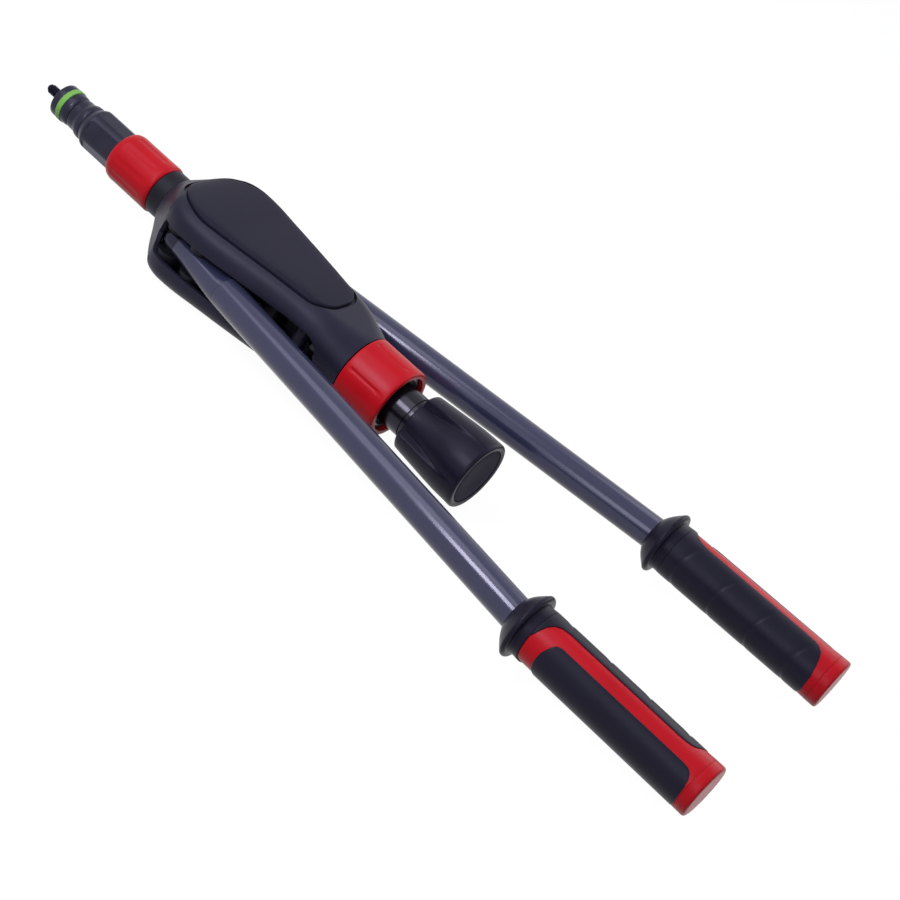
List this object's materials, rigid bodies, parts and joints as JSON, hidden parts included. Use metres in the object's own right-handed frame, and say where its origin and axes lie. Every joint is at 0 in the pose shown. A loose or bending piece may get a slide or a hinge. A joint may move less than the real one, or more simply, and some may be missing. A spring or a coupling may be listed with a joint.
{
  "type": "rivet nut tool",
  "caption": "Two-handed lever tool that sets threaded rivet nuts, with a quick-change nose, a stroke ring and a knob that spins the mandrel.",
  "frame": {"origin": "tip of the threaded mandrel, on the tool's axis", "axes": "+X back along the tool from the nose to the knob, +Y towards the right arm, +Z square to the plane in which the arms swing"},
  "size_m": [0.5618, 0.1857, 0.0526],
  "materials": {
    "black_steel": "satin black oxide",
    "bare_steel": "ground steel",
    "bronze": "sintered bronze",
    "casing": "satin charcoal",
    "panel": "fine grained charcoal",
    "red_plastic": "satin red",
    "black_plastic": "satin black",
    "soft_grip": "soft matt rubber",
    "green_ring": "plastic ring",
    "arm_paint": "slate semi-gloss paint"
  },
  "bodies": {
    "frame": {"neck_tube": "black_steel", "front_bush": "bronze", "rear_bush": "bronze", "tail_tube": "black_steel", "upper_plate": "bare_steel", "lower_plate": "bare_steel", "plate_screws": "black_steel", "pivot_pins": "bare_steel", "pivot_clips": "black_steel", "pivot_washers": "bronze", "casing_upper": "casing", "casing_lower": "casing", "top_panel": "panel", "bottom_panel": "panel", "casing_screws": "black_steel", "nose_sleeve": "black_steel", "anvil": "black_steel", "size_ring": "green_ring", "nose_lock_nut": "black_steel", "locking_balls": "bare_steel", "collar_clip": "bare_steel", "ring_clip": "bare_steel"},
    "left_arm": {"left_head": "arm_paint", "left_tube": "arm_paint", "left_head_pin": "bare_steel", "left_link_pin": "bare_steel", "left_flange": "black_plastic", "left_grip_core": "red_plastic", "left_grip_panel": "soft_grip", "left_grip_rubber": "soft_grip", "left_end_cap": "red_plastic"},
    "right_arm": {"right_head": "arm_paint", "right_tube": "arm_paint", "right_head_pin": "bare_steel", "right_link_pin": "bare_steel", "right_flange": "black_plastic", "right_grip_core": "red_plastic", "right_grip_panel": "soft_grip", "right_grip_rubber": "soft_grip", "right_end_cap": "red_plastic"},
    "left_link": {"left_links": "bare_steel"},
    "right_link": {"right_links": "bare_steel"},
    "draw": {"draw_sleeve": "bare_steel", "draw_block": "bare_steel", "draw_pins": "bare_steel", "draw_nut": "black_steel", "thrust_bearing": "bronze"},
    "spindle": {"spindle": "bare_steel", "mandrel": "black_steel", "coupling": "bare_steel", "knob_stem": "black_steel", "knob": "black_plastic", "knob_nut": "black_steel", "knob_cap": "black_plastic"},
    "quick_collar": {"front_collar": "red_plastic"},
    "stroke_ring": {"stroke_ring": "red_plastic"},
    "stop": {"stop_sleeve": "black_steel"}
  },
  "joints": [
    {"name": "left_arm_hinge", "type": "hinge", "parent": "frame", "child": "left_arm", "pos_m": [0.14, -0.0273, 0], "axis": [0, 0, -1], "range_deg": [-3, 36]},
    {"name": "right_arm_hinge", "type": "hinge", "parent": "frame", "child": "right_arm", "pos_m": [0.14, 0.0273, 0], "axis": [0, 0, 1], "range_deg": [-3, 36]},
    {"name": "left_link_hinge", "type": "hinge", "parent": "left_arm", "child": "left_link", "pos_m": [0.15883, -0.02986, 0], "axis": [0, 0, -1], "range_deg": [-50, 5]},
    {"name": "right_link_hinge", "type": "hinge", "parent": "right_arm", "child": "right_link", "pos_m": [0.15874, 0.03046, 0], "axis": [0, 0, 1], "range_deg": [-50, 5]},
    {"name": "draw_slide", "type": "slide", "parent": "frame", "child": "draw", "axis": [1, 0, 0], "range_m": [-0.0098, 0.0009]},
    {"name": "spindle_turn", "type": "hinge", "parent": "draw", "child": "spindle", "pos_m": [0.33, 0, 0], "axis": [1, 0, 0], "continuous": true},
    {"name": "collar_turn", "type": "hinge", "parent": "frame", "child": "quick_collar", "pos_m": [0.084, 0, 0], "axis": [1, 0, 0], "range_deg": [0, 60]},
    {"name": "stroke_ring_turn", "type": "hinge", "parent": "frame", "child": "stroke_ring", "pos_m": [0.279, 0, 0], "axis": [1, 0, 0], "range_deg": [0, 720]},
    {"name": "stop_slide", "type": "slide", "parent": "frame", "child": "stop", "axis": [1, 0, 0], "range_m": [0, 0.0041]}
  ],
  "couplings": [
    {"joint": "right_arm_hinge", "follows": "left_arm_hinge", "ratio": 1},
    {"joint": "left_link_hinge", "follows": "left_arm_hinge", "ratio": -1.371},
    {"joint": "right_link_hinge", "follows": "left_arm_hinge", "ratio": -1.371},
    {"joint": "draw_slide", "follows": "left_arm_hinge", "m_per_rad": -0.01547},
    {"joint": "stop_slide", "follows": "stroke_ring_turn", "m_per_rad": 0.000318}
  ]
}
